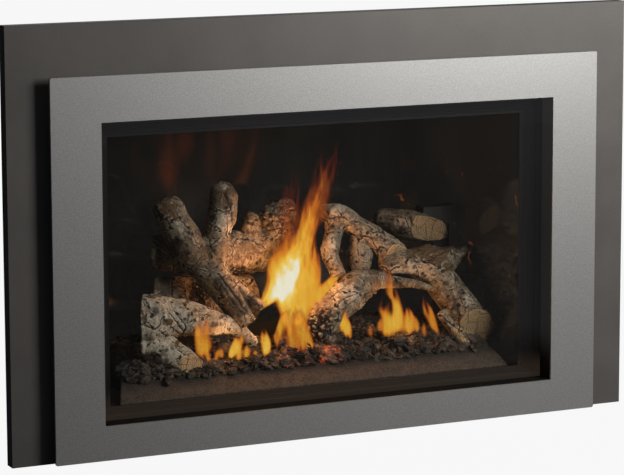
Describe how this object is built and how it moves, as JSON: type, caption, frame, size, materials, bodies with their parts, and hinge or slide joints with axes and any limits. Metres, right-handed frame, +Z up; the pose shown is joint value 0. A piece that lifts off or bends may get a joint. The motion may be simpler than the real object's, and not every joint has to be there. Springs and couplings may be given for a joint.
{
  "type": "gas fireplace insert",
  "caption": "Gas fireplace insert with a dark surround, proud silver face, set-back black glass frame, birch log set on an ember bed, blower and twin vent collars.",
  "frame": {"origin": "middle of the footprint on the hearth", "axes": "+Z up, +X to the right seen from the front, +Y to the back into the chimney"},
  "size_m": [1.13, 0.452, 0.711],
  "materials": {
    "charcoal_paint": "satin",
    "silver_paint": "metallic satin",
    "black_paint": "satin",
    "gloss_black": "gloss",
    "screen_wire": "matte",
    "ceramic_glass": "clear",
    "gasket_rope": "matte",
    "plated_steel": "plated",
    "black_steel": "matte",
    "black_enamel": "mirror gloss",
    "brass": "machined",
    "cast_aluminium": "cast",
    "black_plastic": "moulded",
    "grey_plastic": "moulded",
    "char": "rough char",
    "birch_ceramic": "matte painted"
  },
  "bodies": {
    "insert": {"base_pan": "plated_steel", "battery_holder": "black_plastic", "blower_housing": "plated_steel", "blower_motor": "cast_aluminium", "burner_pan": "black_steel", "burner_tube": "plated_steel", "casing_top": "plated_steel", "casing_wrap": "plated_steel", "char_chunks": "char", "control_module": "grey_plastic", "ember_bed": "char", "firebox_floor": "black_steel", "firebox_front_wall": "black_steel", "firebox_wrap": "black_steel", "gas_inlet_fitting": "brass", "gas_valve_body": "cast_aluminium", "glass_frame": "gloss_black", "glass_gasket": "gasket_rope", "glass_pane": "ceramic_glass", "intake_duct": "plated_steel", "junction_box": "plated_steel", "liner_back": "black_enamel", "liner_left": "black_enamel", "liner_right": "black_enamel", "log_arch": "birch_ceramic", "log_front_centre": "birch_ceramic", "log_front_fork": "birch_ceramic", "log_front_left": "birch_ceramic", "log_front_right": "birch_ceramic", "log_grate": "black_steel", "log_rear_left": "birch_ceramic", "log_rear_lower": "birch_ceramic", "log_rear_right": "birch_ceramic", "log_split_right": "birch_ceramic", "manifold_tube": "brass", "pilot_assembly": "plated_steel", "surround_plate": "charcoal_paint", "surround_screws": "black_steel", "vent_plate": "plated_steel"},
    "face": {"face_plate": "silver_paint", "face_carrier": "black_paint"},
    "screen": {"barrier_frame": "black_paint", "barrier_mesh": "screen_wire"},
    "latch_left": {"glass_latch_left": "plated_steel"},
    "latch_right": {"glass_latch_right": "plated_steel"},
    "flap_left": {"relief_flap_left": "plated_steel"},
    "flap_right": {"relief_flap_right": "plated_steel"},
    "restrictor": {"vent_restrictor": "plated_steel"},
    "shutter": {"air_shutter": "plated_steel"},
    "gas_knob": {"gas_knob": "black_plastic"},
    "flame_knob": {"flame_knob": "black_plastic"},
    "fan_knob": {"fan_knob": "black_plastic"},
    "rocker": {"rocker_switch": "black_plastic"},
    "receiver_switch": {"receiver_switch": "black_plastic"},
    "impeller": {"blower_impeller": "cast_aluminium"},
    "bolt_1": {"levelling_bolt_1": "plated_steel"},
    "bolt_2": {"levelling_bolt_2": "plated_steel"},
    "bolt_3": {"levelling_bolt_3": "plated_steel"},
    "bolt_4": {"levelling_bolt_4": "plated_steel"}
  },
  "joints": [
    {"name": "face_pull", "type": "slide", "parent": "insert", "child": "face", "axis": [0, -1, 0], "range_m": [0, 0.15]},
    {"name": "screen_pull", "type": "slide", "parent": "insert", "child": "screen", "axis": [0, -1, 0], "range_m": [0, 0.15]},
    {"name": "latch_left_turn", "type": "hinge", "parent": "insert", "child": "latch_left", "pos_m": [-0.25, -0.186, 0.576], "axis": [0, 1, 0], "range_deg": [0, 90]},
    {"name": "latch_right_turn", "type": "hinge", "parent": "insert", "child": "latch_right", "pos_m": [0.25, -0.186, 0.576], "axis": [0, -1, 0], "range_deg": [0, 90]},
    {"name": "flap_left_lift", "type": "hinge", "parent": "insert", "child": "flap_left", "pos_m": [-0.23, -0.018, 0.5622], "axis": [-1, 0, 0], "range_deg": [0, 20]},
    {"name": "flap_right_lift", "type": "hinge", "parent": "insert", "child": "flap_right", "pos_m": [0.23, -0.018, 0.5622], "axis": [-1, 0, 0], "range_deg": [0, 20]},
    {"name": "restrictor_slide", "type": "slide", "parent": "insert", "child": "restrictor", "axis": [0, 1, 0], "range_m": [0, 0.03]},
    {"name": "shutter_turn", "type": "hinge", "parent": "insert", "child": "shutter", "pos_m": [-0.15, -0.004, 0.03], "axis": [-1, 0, 0], "range_deg": [0, 45]},
    {"name": "gas_knob_turn", "type": "hinge", "parent": "insert", "child": "gas_knob", "pos_m": [-0.272, -0.147, 0.03], "axis": [0, -1, 0], "range_deg": [0, 90]},
    {"name": "flame_knob_turn", "type": "hinge", "parent": "insert", "child": "flame_knob", "pos_m": [-0.31, -0.147, 0.03], "axis": [0, -1, 0], "range_deg": [0, 270]},
    {"name": "fan_knob_turn", "type": "hinge", "parent": "insert", "child": "fan_knob", "pos_m": [0.362, -0.144, 0.03], "axis": [0, -1, 0], "range_deg": [0, 270]},
    {"name": "rocker_tip", "type": "hinge", "parent": "insert", "child": "rocker", "pos_m": [0.32, -0.129, 0.036], "axis": [1, 0, 0], "range_deg": [-10, 10]},
    {"name": "receiver_slide", "type": "slide", "parent": "insert", "child": "receiver_switch", "axis": [1, 0, 0], "range_m": [0, 0.008]},
    {"name": "impeller_spin", "type": "hinge", "parent": "insert", "child": "impeller", "pos_m": [0, 0.197, 0.06], "axis": [1, 0, 0], "continuous": true},
    {"name": "bolt_1_turn", "type": "hinge", "parent": "insert", "child": "bolt_1", "pos_m": [-0.4, -0.129, 0], "axis": [0, 0, 1], "range_deg": [-180, 180]},
    {"name": "bolt_2_turn", "type": "hinge", "parent": "insert", "child": "bolt_2", "pos_m": [0.4, -0.129, 0], "axis": [0, 0, 1], "range_deg": [-180, 180]},
    {"name": "bolt_3_turn", "type": "hinge", "parent": "insert", "child": "bolt_3", "pos_m": [-0.31, 0.191, 0], "axis": [0, 0, 1], "range_deg": [-180, 180]},
    {"name": "bolt_4_turn", "type": "hinge", "parent": "insert", "child": "bolt_4", "pos_m": [0.31, 0.191, 0], "axis": [0, 0, 1], "range_deg": [-180, 180]}
  ]
}
